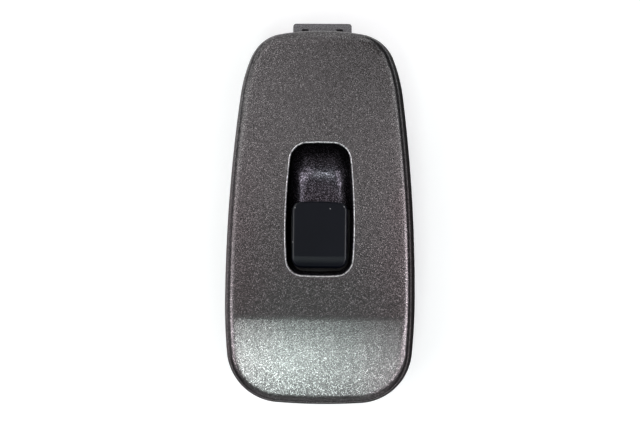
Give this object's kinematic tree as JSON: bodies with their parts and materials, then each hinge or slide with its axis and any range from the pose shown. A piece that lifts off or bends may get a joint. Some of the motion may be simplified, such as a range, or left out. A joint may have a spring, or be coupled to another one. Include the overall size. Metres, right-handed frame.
{
  "type": "power window switch",
  "caption": "Oblong door-trim panel with a scooped finger well and a spring-centred rocker knob over a screwed-on switch with tilting contacts and a side connector socket.",
  "frame": {"origin": "middle of the panel's rim, on the plane where the rim lies on the door trim", "axes": "+X to the right, +Y forward to the locating tongue, +Z out of the door, towards the finger"},
  "size_m": [0.061, 0.1228, 0.0342],
  "materials": {
    "panel_paint": "satin metallic graphite paint on a moulding",
    "knob_plastic": "fine matt texture",
    "case_plastic": "moulded, semi-matt",
    "base_plastic": "moulded, semi-matt, dark grey",
    "terminal_brass": "stamped strip",
    "contact_silver": "silver contact, satin",
    "spring_steel": "spring steel",
    "screw_zinc": "zinc plated"
  },
  "bodies": {
    "housing": {"trim_panel": "panel_paint", "switch_case": "case_plastic", "switch_base": "base_plastic", "motor_terminal_left": "terminal_brass", "motor_terminal_right": "terminal_brass", "supply_terminal": "terminal_brass", "ground_terminal_front": "terminal_brass", "ground_terminal_rear": "terminal_brass", "supply_contacts": "contact_silver", "ground_contact_front": "contact_silver", "ground_contact_rear": "contact_silver", "mounting_screws": "screw_zinc", "panel_clip_front_left": "spring_steel", "panel_clip_front_right": "spring_steel", "panel_clip_rear_left": "spring_steel", "panel_clip_rear_right": "spring_steel"},
    "knob": {"knob": "knob_plastic", "plunger_spring_left": "spring_steel", "plunger_spring_right": "spring_steel"},
    "plunger_left": {"plunger_left": "terminal_brass"},
    "contact_rocker_left": {"contact_rocker_left": "terminal_brass", "rocker_contacts_left": "contact_silver"},
    "plunger_right": {"plunger_right": "terminal_brass"},
    "contact_rocker_right": {"contact_rocker_right": "terminal_brass", "rocker_contacts_right": "contact_silver"}
  },
  "joints": [
    {"name": "knob_hinge", "type": "hinge", "parent": "housing", "child": "knob", "pos_m": [0, -0.0065, 0.0022], "axis": [1, 0, 0], "range_deg": [-8, 8], "stiffness_Nm_per_rad": 0.3},
    {"name": "plunger_slide_left", "type": "slide", "parent": "knob", "child": "plunger_left", "axis": [0, 0, 1], "range_m": [0, 0.0008], "stiffness_N_per_m": 400, "springref_m": -0.002, "deforming": ["plunger_spring_left"]},
    {"name": "contact_rocker_hinge_left", "type": "hinge", "parent": "housing", "child": "contact_rocker_left", "pos_m": [-0.0027, -0.0065, -0.01042], "axis": [1, 0, 0], "range_deg": [-6.2, 6.2]},
    {"name": "plunger_slide_right", "type": "slide", "parent": "knob", "child": "plunger_right", "axis": [0, 0, 1], "range_m": [0, 0.0008], "stiffness_N_per_m": 400, "springref_m": -0.002, "deforming": ["plunger_spring_right"]},
    {"name": "contact_rocker_hinge_right", "type": "hinge", "parent": "housing", "child": "contact_rocker_right", "pos_m": [0.0027, -0.0065, -0.01042], "axis": [1, 0, 0], "range_deg": [-6.2, 6.2]}
  ],
  "couplings": [
    {"joint": "contact_rocker_hinge_left", "follows": "knob_hinge", "ratio": -0.75},
    {"joint": "contact_rocker_hinge_right", "follows": "knob_hinge", "ratio": -0.75}
  ]
}
